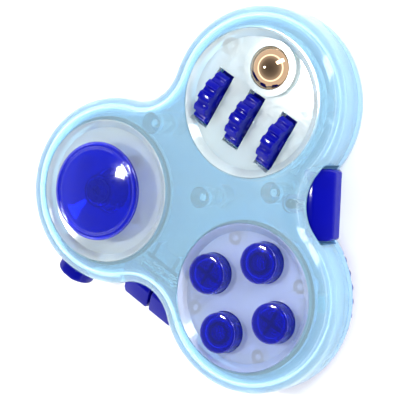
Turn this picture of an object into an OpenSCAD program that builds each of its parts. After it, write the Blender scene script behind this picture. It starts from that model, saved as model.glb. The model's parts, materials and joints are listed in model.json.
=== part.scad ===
// Three-lobed handheld fidget pad: a translucent shell that carries a thumb stick, three thumb
// gears, a trackball, four buttons, a rocker, two triggers, a side button and a rear dial.
// Millimetres. +Z comes out of the face, the rear lies on z = 0, +X runs from the stick lobe
// towards the valley between the gear lobe and the button lobe.

/* [Body] */
// Distance between neighbouring lobe centres
lobe_pitch = 39.27; // [36:0.01:48]
// Radius of each lobe's outline
lobe_r = 19.85; // [19:0.05:20.5]
// Radius of the concave outline between two lobes
valley_r = 9.5; // [9:0.1:11]
// Thickness of the closed body
body_t = 14; // [13.6:0.1:17]
// Thickness of the shell walls
wall = 2; // [1.6:0.1:2.2]
// Rounding of the front edge
face_round = 4; // [3.6:0.1:4.4]
// Rounding of the rear edge
rear_round = 3.8; // [3.4:0.1:4]
// Height of the joint between the two shells
seam_z = 5.5; // [5.2:0.1:6]
// Shadow gap between the two shells
seam_gap = 0.15; // [0.1:0.05:0.3]
// Height of the locating lip above the joint
lip_h = 3; // [1:0.1:3.2]
// Thickness of the locating lip
lip_t = 0.8; // [0.6:0.1:1]

/* [Fits] */
// Radial clearance of a pin that turns in its bore
run_gap = 0.05; // [0.02:0.01:0.1]
// Clearance between parts that slide past each other
slide_gap = 0.3; // [0.2:0.05:0.4]
// Clearance between fixed parts that are laid in
lay_gap = 0.1; // [0.05:0.05:0.2]

/* [Lobe panels] */
// Radius of the opening in the shell's face
recess_r = 15.2; // [14.8:0.1:15.6]
// Radius of the flat deck inside the conical rim
deck_r = 13.5; // [13.2:0.1:14]
// Depth of the deck below the face
deck_drop = 1.45; // [1.2:0.05:1.8]
// Thickness of a panel
panel_t = 1.2; // [1:0.1:1.4]
// Width of the flange behind the shell's face
flange_w = 0.55; // [0.4:0.05:0.6]
// Thickness of that flange
flange_t = 1; // [0.8:0.1:1.2]

/* [Thumb stick] */
// Radius of the thumb cap
cap_r = 10.43; // [9:0.01:11]
// Height of the cap's rim above the face
cap_rise = 2.95; // [2.6:0.05:4]
// Thickness of the cap at its rim
cap_t = 1.5; // [1.2:0.1:1.8]
// Radius of the stem
stem_r = 2.45; // [2.1:0.05:2.6]
// Radius of the hole that the stem passes through
stem_hole_r = 4.4; // [4.2:0.1:5]
// Drop of the dished deck from its edge to the stem hole
dish_drop = 1.1; // [0.8:0.1:1.3]
// Depth of the tilt pivot below the face
pivot_drop = 6; // [5.8:0.1:6.4]
// Inner radius of the gimbal ring
gimbal_r = 3.3; // [3.1:0.1:3.5]
// Wall and half height of the gimbal ring
gimbal_t = 1.3; // [1.1:0.1:1.4]
// Radius of the gimbal pins
gimbal_pin_r = 0.6; // [0.5:0.05:0.7]
// Radius of the circle of base posts
post_ring_r = 8.2; // [8:0.1:8.4]

/* [Thumb gears] */
// Tip radius of the thumb gears
gear_r = 6; // [5.4:0.1:6.2]
// Width of a thumb gear
gear_w = 3; // [2.4:0.1:3.2]
// Spacing of the gears along their axle
gear_pitch = 8.5; // [8:0.1:8.6]
// Number of teeth
gear_teeth = 12; // [8:1:16]
// Radius of a rounded tooth
tooth_r = 0.85; // [0.6:0.05:1]
// Depth of the gear axle below the deck
gear_drop = 2.25; // [2:0.05:2.6]
// Offset of the gear row from the lobe centre
gear_offset = -3.93; // [-4.2:0.01:-3.8]
// Radius of the gear axle
axle_r = 1; // [0.8:0.1:1.2]
// Length of the gear slots
slot_len = 12.2; // [11.8:0.1:12.6]
// Width of the gear slots
slot_w = 4; // [3.8:0.1:4.6]

/* [Trackball] */
// Radius of the steel ball
ball_r = 5; // [4.6:0.05:5.2]
// Depth of the ball's centre below the face
ball_drop = 2.7; // [2.4:0.1:3]
// Distance of the ball from the lobe centre
ball_offset = 8.2; // [8.1:0.1:8.4]
// Running clearance around the ball
ball_gap = 0.1; // [0.05:0.01:0.15]
// Outer radius of the raised collar
collar_r = 5.75; // [5.6:0.05:5.9]

/* [Buttons] */
// Radius of the face buttons
button_r = 4.15; // [3.6:0.05:4.4]
// Height of the buttons above the face
button_rise = 1.75; // [1.7:0.05:2.4]
// Travel of the buttons
button_travel = 1.6; // [1:0.1:1.6]
// Radius of the circle of buttons
button_ring_r = 8.6; // [8.4:0.1:8.8]
// Clearance between a button and its hole
button_gap = 0.15; // [0.1:0.05:0.2]
// Radius of the circle of carrier bosses
boss_ring_r = 12.3; // [12.1:0.1:12.4]

/* [Rocker and triggers] */
// Half length of the rocker
rocker_half = 7.15; // [6:0.05:7.4]
// How far the rocker stands out of its valley
rocker_proud = 5; // [4.5:0.05:5.3]
// Swing of the rocker to each side, degrees
rocker_swing = 4; // [2:1:4]
// Half length of the trigger pair
trigger_half = 7; // [6:0.05:7.2]
// Groove between the two triggers
trigger_split = 0.6; // [0.5:0.1:0.8]
// How far the triggers stand out of their valley
trigger_proud = 4.85; // [4.3:0.05:5.1]
// Travel of the triggers
trigger_travel = 1.5; // [1:0.1:1.6]
// Lower edge of the rocker and triggers
bar_z = 4.6; // [4.6:0.1:5]
// Space between the top of the rocker and triggers and the lobe panels
bar_clear = 0.3; // [0.25:0.05:0.6]

/* [Side button] */
// Direction of the side button from the stick lobe's centre, degrees
side_angle = 240; // [225:1:245]
// Width of the side button
side_w = 8; // [7:0.1:8.4]
// Distance of its dome beyond the lobe's centre
side_out = 23; // [22:0.1:23.4]
// Travel of the side button
side_travel = 1.5; // [1:0.1:1.6]

/* [Rear dial] */
// Radius of the thumb dial
dial_r = 18.9; // [17.5:0.1:19]
// Rear face of the dial above the rest plane
dial_z = 0.4; // [0.3:0.1:0.6]
// Thickness of the dial
dial_t = 2.6; // [2.2:0.1:2.6]
// Radial clearance around the dial
dial_gap = 0.4; // [0.3:0.05:0.5]
// Number of knurls
dial_knurls = 40; // [24:4:60]
// Depth of the knurls
knurl_depth = 0.55; // [0.3:0.05:0.7]
// Radius of the hub that the dial turns on
hub_r = 2.6; // [2.2:0.1:3]
// Radius of the circle of detent pockets
detent_ring_r = 15.4; // [15.2:0.1:15.5]

/* [Screws] */
// Shank radius of the case screws
case_screw_r = 0.8; // [0.7:0.05:0.9]
// Head radius of the case screws
case_head_r = 1.9; // [1.7:0.1:2]
// Shank radius of the small screws
small_screw_r = 0.65; // [0.55:0.05:0.75]
// Head radius of the small screws
small_head_r = 1.35; // [1.2:0.05:1.5]

/* [Hidden] */
$fn = 96;

shell_color = [0.72, 0.88, 1, 0.6];
blue_color = [0.02, 0.09, 0.68];
carrier_color = [0.42, 0.49, 0.75];
steel_color = [0.75, 0.75, 0.77];

// Small overlap that makes one solid of neighbouring shapes
weld = 0.02;
// Overrun of a cut past the surface it opens
over = 1;
outline_lobe_steps = 40;
outline_valley_steps = 10;
round_steps = 5;

// Plan layout: lobes at 180, 60 and 300 degrees round the body's centre
lobe_ring_r = lobe_pitch / sqrt(3);
valley_in = lobe_ring_r / 2;
mid_x = lobe_ring_r / 4;
STICK = 0;
BUTTONS = 1;
GEARS = 2;
LOBE_ANGLES = [180, 300, 60];
ROCKER_VALLEY = 0;
PLAIN_VALLEY = 120;
TRIGGER_VALLEY = 240;
valley_axis = sqrt(pow(lobe_r + valley_r, 2) - pow(lobe_pitch / 2, 2));
valley_half = asin(lobe_pitch / 2 / (lobe_r + valley_r));
lobe_half = 60 + valley_half;
valley_face = valley_axis - valley_r;

// Heights
face_z = body_t;
roof_z = face_z - wall;
floor_z = wall;
deck_z = face_z - deck_drop;
deck_low = deck_z - panel_t;
panel_r = recess_r - lay_gap;
flange_r = recess_r + flange_w;
wall_in_r = lobe_r - wall;
lip_out_r = wall_in_r - lay_gap;
lip_in_r = lip_out_r - lip_t;
boss_low = seam_z + lay_gap;
under_panel_z = roof_z - flange_t - lay_gap;

// Thumb stick
pivot_z = face_z - pivot_drop;
dish_z = deck_z - dish_drop;
gimbal_out_r = gimbal_r + gimbal_t;
gimbal_half = gimbal_t * 0.8;
upright_t = 1.2;
upright_half = 1.7;
base_r = post_ring_r + 1.5;
base_t = 1.4;
base_top = floor_z + base_t;
base_screw_z = floor_z + 0.9;
small_head_t = 0.8;
stick_spring_r = 2.6;
post_r = 1.7;
POST_ANGLES = [-40, 50, 140, 230];
panel_boss_z = pivot_z + 0.6;
stem_low = pivot_z - 2.4;
stem_top = face_z + 2.3;
boss_drop = 0.9;
cap_dome = 0.55;
cap_groove_r = 0.16;
cap_boss_t = 0.85;
cap_low = face_z + cap_rise - cap_t;
stick_spring_top = stem_low - 0.7;

// Thumb gears
gear_z = deck_z - gear_drop;
cheek_t = 1.2;
gear_side_gap = 0.4;
end_cheek_t0 = gear_pitch + gear_w / 2 + gear_side_gap;
axle_half = end_cheek_t0 + cheek_t;
cheek_half = 3;
cradle_top = floor_z + 1.5;
cradle_half = 5.5;
spacer_r = axle_r + 0.9;
ear_x = gear_offset - cradle_half - 1.2;
ear_r = 1.9;
GEAR_ROW = [-1, 0, 1];

// Trackball
ball_z = face_z - ball_drop;
socket_r = ball_r + ball_gap;
collar_top = face_z - 0.1;
seat_r = socket_r + 0.7;
seat_low = ball_z - socket_r - 1.1;
seat_foot_r = 3;
seat_drain_r = 1.2;

// Buttons
button_top = face_z + button_rise;
button_wall = 1;
button_roof = 1;
button_edge = 0.5;
button_flange_r = button_r + 0.75;
button_flange_top = under_panel_z;
button_flange_t = 1;
button_rib_z = button_top - button_roof - 2.05;
button_rib_half = 0.45;
octagon_r = 2.4;
button_spring_r = 2.25;
BUTTON_ANGLES = [60, 150, 240, 330];
BOSS_ANGLES = [15, 105, 195, 285];
carrier_r = 12.4;
carrier_z = 6.1;
carrier_t = 1.2;
carrier_top = carrier_z + carrier_t;
carrier_boss_z = carrier_top + 1.6;
boss_r = 1.5;
spring_seat_r = 1;
foot_half = 1.2;

// Rocker and triggers, measured from the line between two lobe centres
bar_top = roof_z - flange_t - bar_clear;
bar_bevel_in = 3.8;
bar_bevel_z = 2;
bar_low_bevel = 1.2;
bar_corner = 0.9;
rocker_out = valley_face + rocker_proud;
rocker_pivot_n = valley_face - 2.8;
rocker_open_n = rocker_pivot_n - 2.5;
rocker_hub_r = 2;
rocker_pin_r = 1;
rocker_slot_half = 0.9;
rocker_mid_z = (bar_z + bar_top) / 2;
rocker_open_half = rocker_half + 0.75;
trigger_out = valley_face + trigger_proud;
trigger_back_n = valley_face - 3.3;
trigger_ear_n = trigger_back_n + 3.6;
trigger_ear_t = 1.4;
trigger_open_half = trigger_half + 0.4;
rib_n = trigger_back_n - 4.1;
rib_t = 0.8;
rib_half = 4.3;
guide_n = trigger_back_n - 1.4;
strut_n = rib_n - 3;
strut_t = 2.8;
strut_z = bar_top - 2;
bar_open_n = rocker_out + 4.7;
spring_r = 1.5;
wire = 0.45;

// Side button
side_z = (bar_z + bar_top) / 2 - 0.1;
side_h = 6.2;
side_corner = 1.6;
side_dome_r = 7;
side_flange_r = wall_in_r - 2.45;
side_flange_t = 1.2;
side_flange_w = 1.2;
side_rib_r = base_r + 0.4;
side_open_r = side_flange_r - 0.9;
side_rib_half = 2.5;

// Rear dial
dial_top = dial_z + dial_t;
pocket_r = dial_r + dial_gap;
pocket_z = dial_top + slide_gap;
pocket_roof = 0.9;
hub_low = dial_z + 1;
washer_t = 0.4;
washer_r = hub_r + 1.5;
block_x0 = detent_ring_r - 1.35;
block_x1 = detent_ring_r + 1.35;
block_half = 1.6;
block_z0 = pocket_z + pocket_roof;
block_z1 = face_z - 3.6;
pin_r = 0.7;
pin_low = dial_top + 0.35;
pin_top = block_z0 + 2;
pin_bore_r = 1.1;
pin_bore_top = block_z1 - 0.6;
dish_out_r = 15.5;
dish_in_r = 13.5;
dish_t = 0.5;
counterbore_t = 1.15;
detent_pocket_t = 0.5;
detent_step = 22.5;
dial_head_r = 2;
dial_head_low = 0.2;
dial_screw_depth = 2.5;

// Case screws: in the body's centre, in two valleys and under the gear panel
head_h = 1.1;
head_floor = 1.3;
case_boss_r = 2.2;
case_post_r = case_head_r + 0.7;
case_screw_top = 9.8;
ROCKER_SCREW = [rocker_pivot_n - 4.6, 1.9];
PLAIN_SCREW = [valley_face - 4.8, 3.4];
GEAR_BOSS_R = 13.45;
GEAR_BOSS_ANGLES = [-58.7, 58.7];

function polar(r, a) = [r * cos(a), r * sin(a)];
function mid(p) = [mid_x + p.x, p.y];
function lobe_xy(i) = mid(polar(lobe_ring_r, LOBE_ANGLES[i]));
function valley_xy(a) = mid(polar(valley_in + valley_axis, a));

// Closed outline of the pad, moved in by inset: three convex lobes and three concave valleys
function outline(inset) = [for (i = [0:2]) let (a = 60 + 120 * i) each concat(
    [for (j = [0:outline_lobe_steps - 1]) mid(polar(lobe_ring_r, a))
        + polar(lobe_r - inset, a - lobe_half + 2 * lobe_half * j / outline_lobe_steps)],
    [for (j = [0:outline_valley_steps - 1]) valley_xy(a + 60)
        + polar(valley_r + inset, a + 240 + valley_half - 2 * valley_half * j / outline_valley_steps)])];

// Rows of [inset, z] that round a lower and an upper edge
function low_rows(inset, z, r) = r <= 0 ? [[inset, z]]
    : [for (j = [0:round_steps]) let (a = 90 * j / round_steps)
        [inset + r * (1 - sin(a)), z + r * (1 - cos(a))]];
function top_rows(inset, z, r) = r <= 0 ? [[inset, z]]
    : [for (j = [0:round_steps]) let (a = 90 * j / round_steps)
        [inset + r * (1 - cos(a)), z - r * (1 - sin(a))]];

// Solid swept through the rows, one ring of the outline for each, with a fan over each end
module pad(rows) {
    n = 3 * (outline_lobe_steps + outline_valley_steps);
    m = len(rows);
    points = concat([for (row = rows) each [for (p = outline(row[0])) [p.x, p.y, row[1]]]],
        [[mid_x, 0, rows[0][1]], [mid_x, 0, rows[m - 1][1]]]);
    low = [for (j = [0:n - 1]) [m * n, j, (j + 1) % n]];
    high = [for (j = [0:n - 1]) [m * n + 1, (m - 1) * n + (j + 1) % n, (m - 1) * n + j]];
    sides = [for (k = [0:m - 2]) each [for (j = [0:n - 1])
        [k * n + j, (k + 1) * n + j, (k + 1) * n + (j + 1) % n, k * n + (j + 1) % n]]];
    polyhedron(points, concat(low, high, sides));
}

module at_lobe(i) {
    p = lobe_xy(i);
    translate([p.x, p.y, 0]) children();
}

// Frame of a valley: x outward from the line between two lobe centres, y along it
module at_valley(a) {
    translate([mid_x, 0, 0]) rotate(a) translate([valley_in, 0, 0]) children();
}

// Frame of the gear lobe: x outward through the ball, y along the gear axle
module at_gears() {
    at_lobe(GEARS) rotate(LOBE_ANGLES[GEARS]) children();
}

// Frame of the side button: x outward
module at_side() {
    at_lobe(STICK) rotate(side_angle) children();
}

// Copies at a height on a circle: circle is [radius, [angles]]
module ring(z, circle) {
    for (a = circle[1]) translate([circle[0] * cos(a), circle[0] * sin(a), z]) children();
}

// Block by its lowest and highest corners
module block(low, high) {
    translate(low) cube(high - low);
}

// Tube along +Z
module tube(r_out, r_in, h) {
    difference() {
        cylinder(r = r_out, h = h);
        translate([0, 0, -over]) cylinder(r = r_in, h = h + 2 * over);
    }
}

// Screw along +Z with its head below z = 0
module screw(head_r, head_h, shank_r, length) {
    difference() {
        translate([0, 0, -head_h]) cylinder(r = head_r, h = head_h);
        for (a = [0, 90]) translate([0, 0, -head_h]) rotate(a)
            cube([head_r * 1.2, head_r * 0.28, head_h], center = true);
    }
    translate([0, 0, -weld]) cylinder(r = shank_r, h = length + weld);
}

// Places of the case screws: the first three meet the front shell, the others the gear panel
module at_shell_screws() {
    translate([mid_x, 0, 0]) children();
    at_valley(ROCKER_VALLEY) translate([ROCKER_SCREW.x, ROCKER_SCREW.y, 0]) children();
    at_valley(PLAIN_VALLEY) translate([PLAIN_SCREW.x, PLAIN_SCREW.y, 0]) children();
}
module at_gear_screws() {
    at_gears() ring(0, [GEAR_BOSS_R, GEAR_BOSS_ANGLES]) children();
}

// Openings for the rocker, the triggers and the side button
module side_openings(margin) {
    low = bar_z - slide_gap - margin;
    high = bar_top + slide_gap + margin;
    rocker_open = rocker_open_half + margin;
    trigger_open = trigger_open_half + margin;
    side_half = side_w / 2 + slide_gap + margin;
    at_valley(ROCKER_VALLEY) block([rocker_open_n, -rocker_open, low], [bar_open_n, rocker_open, high]);
    at_valley(TRIGGER_VALLEY) block([trigger_back_n, -trigger_open, low], [bar_open_n, trigger_open, high]);
    at_side() block([side_open_r, -side_half, side_z - side_h / 2 - slide_gap - margin],
        [side_out + over, side_half, side_z + side_h / 2 + slide_gap + margin]);
}

// Walls from the shell's roof that guide the triggers and back their springs
module trigger_ribs() {
    at_valley(TRIGGER_VALLEY) {
        block([rib_n, -rib_half, block_z0 + slide_gap], [rib_n + rib_t, rib_half, roof_z + weld]);
        block([guide_n, -rib_half, bar_top + slide_gap], [guide_n + rib_t, rib_half, roof_z + weld]);
        for (t = [-strut_t, strut_t])
            block([strut_n, t - rib_t / 2, strut_z], [rib_n + weld, t + rib_t / 2, roof_z + weld]);
    }
}

module front_shell() {
    color(shell_color) difference() {
        union() {
            difference() {
                pad(concat(low_rows(0, seam_z, 0), top_rows(0, face_z, face_round)));
                pad(concat(low_rows(wall, seam_z - over, 0), top_rows(wall, roof_z, face_round - wall)));
            }
            at_shell_screws() translate([0, 0, boss_low])
                cylinder(r = case_boss_r, h = roof_z - boss_low + weld);
            at_valley(ROCKER_VALLEY) translate([rocker_pivot_n, 0, bar_top + slide_gap])
                cylinder(r = rocker_hub_r, h = roof_z - bar_top - slide_gap + weld);
            trigger_ribs();
        }
        for (i = [0:2]) at_lobe(i) translate([0, 0, roof_z - over])
            cylinder(r = recess_r, h = wall + 2 * over);
        side_openings(0);
        at_shell_screws() translate([0, 0, boss_low - over])
            cylinder(r = case_screw_r, h = case_screw_top - boss_low + over);
        at_valley(ROCKER_VALLEY) translate([rocker_pivot_n, 0, bar_top])
            cylinder(r = rocker_pin_r, h = roof_z + 0.6 - bar_top);
    }
}

// Space of the dial under the button lobe, open to the outside of the lobe
module dial_pocket() {
    at_lobe(BUTTONS) {
        translate([0, 0, -over]) cylinder(r = pocket_r, h = pocket_z + over);
        intersection() {
            translate([0, 0, -over]) cylinder(r = lobe_r + over, h = pocket_z + over);
            rotate(LOBE_ANGLES[BUTTONS]) block([0, -2 * lobe_r, -2 * over], [2 * lobe_r, 2 * lobe_r, body_t]);
        }
    }
}

module rear_shell() {
    top = seam_z - seam_gap;
    color(shell_color) difference() {
        union() {
            difference() {
                pad(concat(low_rows(0, 0, rear_round), top_rows(0, top, 0)));
                pad(concat(low_rows(wall, floor_z, rear_round - wall), top_rows(wall, top + over, 0)));
            }
            intersection() {
                at_lobe(BUTTONS) translate([0, 0, 0.5]) cylinder(r = pocket_r + 1.2, h = block_z0 - 0.5);
                linear_extrude(body_t) polygon(outline(wall / 2));
            }
            difference() {
                translate([0, 0, floor_z]) linear_extrude(seam_z + lip_h - floor_z)
                    polygon(outline(wall + lay_gap));
                translate([0, 0, -over]) linear_extrude(body_t) polygon(outline(wall + lay_gap + lip_t));
                side_openings(1.3);
            }
            translate([0, 0, floor_z - weld]) {
                at_shell_screws() cylinder(r = case_post_r, h = top - floor_z + weld);
                at_gear_screws() cylinder(r = case_post_r, h = top - floor_z + weld);
                at_valley(ROCKER_VALLEY) translate([rocker_pivot_n, 0, 0])
                    cylinder(r = rocker_hub_r, h = bar_z - slide_gap - floor_z + weld);
            }
            at_side() block([side_rib_r, -side_rib_half, floor_z - weld],
                [side_rib_r + rib_t, side_rib_half, side_z + 2.2]);
        }
        dial_pocket();
        at_lobe(BUTTONS) dial_screw_hole();
        side_openings(0);
        at_lobe(BUTTONS) ring(0, [detent_ring_r, [0]]) cylinder(r = pin_r + lay_gap, h = body_t);
        at_shell_screws() case_screw_hole();
        at_gear_screws() case_screw_hole();
        at_gears() for (s = [-1, 1]) translate([ear_x, s * gear_pitch / 2, floor_z - 1.3])
            cylinder(r = small_screw_r, h = body_t);
        at_valley(ROCKER_VALLEY) translate([rocker_pivot_n, 0, floor_z + 0.6])
            cylinder(r = rocker_pin_r, h = body_t);
    }
    dial_hub();
}

module case_screw_hole() {
    translate([0, 0, -over]) cylinder(r = case_head_r + lay_gap, h = over + head_floor);
    cylinder(r = case_screw_r + lay_gap, h = body_t);
}

// Hub of the rear shell that the dial turns on
module dial_hub() {
    color(shell_color) at_lobe(BUTTONS) difference() {
        translate([0, 0, hub_low]) cylinder(r = hub_r, h = block_z0 - hub_low);
        dial_screw_hole();
    }
}

module dial_screw_hole() {
    translate([0, 0, hub_low - over]) cylinder(r = small_screw_r, h = over + dial_screw_depth + lay_gap);
}

// Panel of a lobe: conical rim, deck and flange, turned about the lobe's axis
module panel(edge_z, hole_z, hole_r) {
    rotate_extrude() polygon([
        [hole_r, hole_z - panel_t], [deck_r - 0.6, edge_z - panel_t], [deck_r - 0.6, roof_z - flange_t],
        [flange_r, roof_z - flange_t], [flange_r, roof_z], [panel_r, roof_z], [panel_r, face_z - 0.15],
        [panel_r - 0.15, face_z], [deck_r, edge_z], [hole_r, hole_z]]);
}

module stick_panel() {
    color(shell_color) at_lobe(STICK) difference() {
        union() {
            panel(deck_z + 0.1, dish_z, stem_hole_r);
            ring(panel_boss_z, [post_ring_r, POST_ANGLES])
                cylinder(r = post_r - 0.2, h = dish_z - panel_boss_z - 0.4);
        }
        ring(panel_boss_z - over, [post_ring_r, POST_ANGLES]) cylinder(r = small_screw_r, h = over + 2);
    }
}

module gear_panel() {
    color(shell_color) at_gears() difference() {
        union() {
            panel(deck_z, deck_z, 0);
            translate([ball_offset, 0, deck_low]) cylinder(r = collar_r, h = collar_top - deck_low);
            ring(boss_low, [GEAR_BOSS_R, GEAR_BOSS_ANGLES])
                cylinder(r = case_boss_r - 0.1, h = deck_low - boss_low + 0.2);
        }
        for (k = GEAR_ROW) translate([gear_offset, k * gear_pitch, deck_z])
            cube([slot_len, slot_w, 4 * panel_t], center = true);
        translate([ball_offset, 0, ball_z]) sphere(socket_r);
        ring(boss_low - over, [GEAR_BOSS_R, GEAR_BOSS_ANGLES])
            cylinder(r = case_screw_r, h = case_screw_top - boss_low + over);
    }
}

module button_panel() {
    color(shell_color) at_lobe(BUTTONS) difference() {
        union() {
            panel(deck_z, deck_z, 0);
            ring(carrier_boss_z, [boss_ring_r, BOSS_ANGLES])
                cylinder(r = boss_r, h = deck_low - carrier_boss_z + weld);
        }
        ring(deck_low - over, [button_ring_r, BUTTON_ANGLES])
            cylinder(r = button_r + button_gap, h = panel_t + 2 * over);
        ring(carrier_boss_z - over, [boss_ring_r, BOSS_ANGLES]) cylinder(r = small_screw_r, h = over + 2);
    }
}

module stick_base() {
    color(blue_color) at_lobe(STICK) difference() {
        union() {
            translate([0, 0, floor_z]) cylinder(r = base_r, h = base_t);
            ring(base_top - weld, [post_ring_r, POST_ANGLES])
                cylinder(r = post_r, h = panel_boss_z - base_top + weld);
            for (s = [-1, 1]) translate([s * (gimbal_out_r + slide_gap + upright_t / 2), 0, 0])
                block([-upright_t / 2, -upright_half, base_top - weld],
                    [upright_t / 2, upright_half, pivot_z + 1.3]);
        }
        translate([0, 0, pivot_z]) rotate([0, 90, 0])
            cylinder(r = gimbal_pin_r + run_gap, h = 20, center = true);
        ring(floor_z - over, [post_ring_r, POST_ANGLES])
            cylinder(r = small_head_r + lay_gap, h = over + base_screw_z - floor_z);
        ring(floor_z, [post_ring_r, POST_ANGLES]) cylinder(r = small_screw_r + lay_gap, h = body_t);
        translate([0, 0, floor_z - over]) cylinder(r = 1, h = base_t + 2 * over);
    }
}

module stick_base_screws() {
    color(steel_color) at_lobe(STICK) ring(base_screw_z, [post_ring_r, POST_ANGLES])
        screw(small_head_r, small_head_t, small_screw_r, panel_boss_z + 1.9 - base_screw_z);
}

module stick_spring() {
    color(steel_color) at_lobe(STICK) translate([0, 0, base_top])
        tube(stick_spring_r, stick_spring_r - wire, stick_spring_top - base_top);
}

// Ring that tilts about X on its own pins and carries the stem's pins along Y
module stick_gimbal() {
    pin_end = gimbal_out_r + slide_gap + upright_t;
    color(steel_color) at_lobe(STICK) translate([0, 0, pivot_z]) difference() {
        union() {
            translate([0, 0, -gimbal_half]) cylinder(r = gimbal_out_r, h = 2 * gimbal_half);
            rotate([0, 90, 0]) cylinder(r = gimbal_pin_r, h = 2 * pin_end, center = true);
        }
        translate([0, 0, -over - gimbal_half]) cylinder(r = gimbal_r, h = 2 * gimbal_half + 2 * over);
        rotate([90, 0, 0]) cylinder(r = gimbal_pin_r + run_gap, h = 20, center = true);
    }
}

module stick_stem() {
    color(blue_color) at_lobe(STICK) difference() {
        union() {
            translate([0, 0, stem_low]) cylinder(r = stem_r, h = stem_top - stem_low);
            translate([0, 0, pivot_z]) rotate([90, 0, 0])
                cylinder(r = gimbal_pin_r, h = 2 * (gimbal_out_r - 0.1), center = true);
        }
        translate([0, 0, stem_top - 1.8]) cylinder(r = 1, h = 3);
    }
}

// Outline of the cap from its axis to its rim: flat underneath, a rolled rim and a low dome
function cap_profile(rim_z, lip_r) = concat(
    [[0, cap_low], [cap_r - 1.1, cap_low], [cap_r - 0.3, rim_z - 0.85], [cap_r, rim_z - 0.45],
        [cap_r, rim_z - 0.1], [cap_r - 0.25, rim_z + 0.25], [cap_r - 0.75, rim_z + 0.42],
        [lip_r, rim_z + 0.3]],
    [for (k = [6:-1:0]) [lip_r * k / 6, rim_z + 0.3 + cap_dome * (1 - pow(k / 6, 2))]]);

module stick_cap() {
    rim_z = face_z + cap_rise;
    lip_r = cap_r * 0.87;
    color(blue_color) at_lobe(STICK) difference() {
        union() {
            rotate_extrude() difference() {
                polygon(cap_profile(rim_z, lip_r));
                translate([lip_r, rim_z + 0.38]) circle(cap_groove_r, $fn = 24);
            }
            translate([0, 0, cap_low - boss_drop]) cylinder(r = stem_r + cap_boss_t, h = boss_drop + weld);
        }
        translate([0, 0, cap_low - boss_drop - over])
            cylinder(r = stem_r, h = stem_top - cap_low + boss_drop + over);
    }
}

// Cheeks, spacers and floor that hold the gear axle
module gear_cradle() {
    color(carrier_color) at_gears() difference() {
        union() {
            block([gear_offset - cradle_half, -axle_half, floor_z],
                [gear_offset + cradle_half, axle_half, cradle_top]);
            for (s = [-1, 1]) {
                translate([gear_offset, s * gear_pitch / 2, 0])
                    block([-cheek_half, -cheek_t / 2, cradle_top - weld],
                        [cheek_half, cheek_t / 2, under_panel_z]);
                translate([gear_offset, s * (end_cheek_t0 + cheek_t / 2), 0])
                    block([-cheek_half, -cheek_t / 2, cradle_top - weld],
                        [cheek_half, cheek_t / 2, under_panel_z]);
                translate([gear_offset, s * gear_pitch / 2, gear_z]) rotate([90, 0, 0])
                    cylinder(r = spacer_r, h = gear_pitch - gear_w - 2 * gear_side_gap, center = true);
                translate([ear_x, s * gear_pitch / 2, floor_z]) cylinder(r = ear_r, h = cradle_top - floor_z);
            }
        }
        translate([gear_offset, 0, gear_z]) rotate([90, 0, 0])
            cylinder(r = axle_r, h = 2 * axle_half + over, center = true);
        block([gear_offset - cradle_half, -axle_half - over, under_panel_z],
            [gear_offset + cradle_half, axle_half + over, face_z]);
        for (s = [-1, 1]) translate([ear_x, s * gear_pitch / 2, 0])
            cylinder(r = small_screw_r + lay_gap, h = body_t);
    }
}

module gear_cradle_screws() {
    color(steel_color) at_gears() for (s = [-1, 1])
        translate([ear_x, s * gear_pitch / 2, cradle_top]) mirror([0, 0, 1])
            screw(small_head_r, small_head_t, small_screw_r, cradle_top - floor_z + 1.2);
}

module gear_axle() {
    color(steel_color) at_gears() translate([gear_offset, 0, gear_z]) rotate([90, 0, 0])
        cylinder(r = axle_r, h = 2 * axle_half, center = true);
}

// Thumb gear number k, with rounded teeth
module gear_wheel(k) {
    color(blue_color) at_gears() translate([gear_offset, k * gear_pitch, gear_z]) rotate([90, 0, 0])
        linear_extrude(gear_w, center = true) difference() {
            union() {
                circle(gear_r - tooth_r * 0.85);
                for (j = [0:gear_teeth - 1]) rotate(360 * j / gear_teeth) translate([gear_r - tooth_r, 0])
                    circle(tooth_r, $fn = 32);
            }
            circle(axle_r + run_gap);
        }
}
module gear_wheel_1() { gear_wheel(-1); }
module gear_wheel_2() { gear_wheel(0); }
module gear_wheel_3() { gear_wheel(1); }

module ball_seat() {
    color(carrier_color) at_gears() translate([ball_offset, 0, 0]) difference() {
        union() {
            translate([0, 0, seat_low]) cylinder(r = seat_r, h = under_panel_z - seat_low);
            translate([0, 0, floor_z]) cylinder(r = seat_foot_r, h = seat_low - floor_z + weld);
        }
        translate([0, 0, ball_z]) sphere(socket_r);
        translate([0, 0, floor_z - over]) cylinder(r = seat_drain_r, h = body_t);
    }
}

module steel_ball() {
    color(steel_color) at_gears() translate([ball_offset, 0, ball_z]) sphere(ball_r);
}

module button_carrier() {
    color(carrier_color) at_lobe(BUTTONS) difference() {
        union() {
            translate([0, 0, carrier_z]) cylinder(r = carrier_r, h = carrier_t);
            ring(carrier_z, [boss_ring_r, BOSS_ANGLES]) cylinder(r = boss_r + 0.2, h = carrier_t);
            ring(carrier_z, [boss_ring_r, BOSS_ANGLES]) cylinder(r = boss_r, h = carrier_boss_z - carrier_z);
            ring(carrier_top - weld, [button_ring_r, BUTTON_ANGLES]) cylinder(r = spring_seat_r, h = 1.6);
            block([-foot_half, -foot_half, block_z0], [foot_half, foot_half, carrier_z + weld]);
        }
        ring(carrier_z - over, [boss_ring_r, BOSS_ANGLES]) cylinder(r = small_screw_r + lay_gap, h = body_t);
    }
}

module button_carrier_screws() {
    color(steel_color) at_lobe(BUTTONS) ring(carrier_z, [boss_ring_r, BOSS_ANGLES])
        screw(small_head_r, small_head_t, small_screw_r, carrier_boss_z + 1.9 - carrier_z);
}

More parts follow.
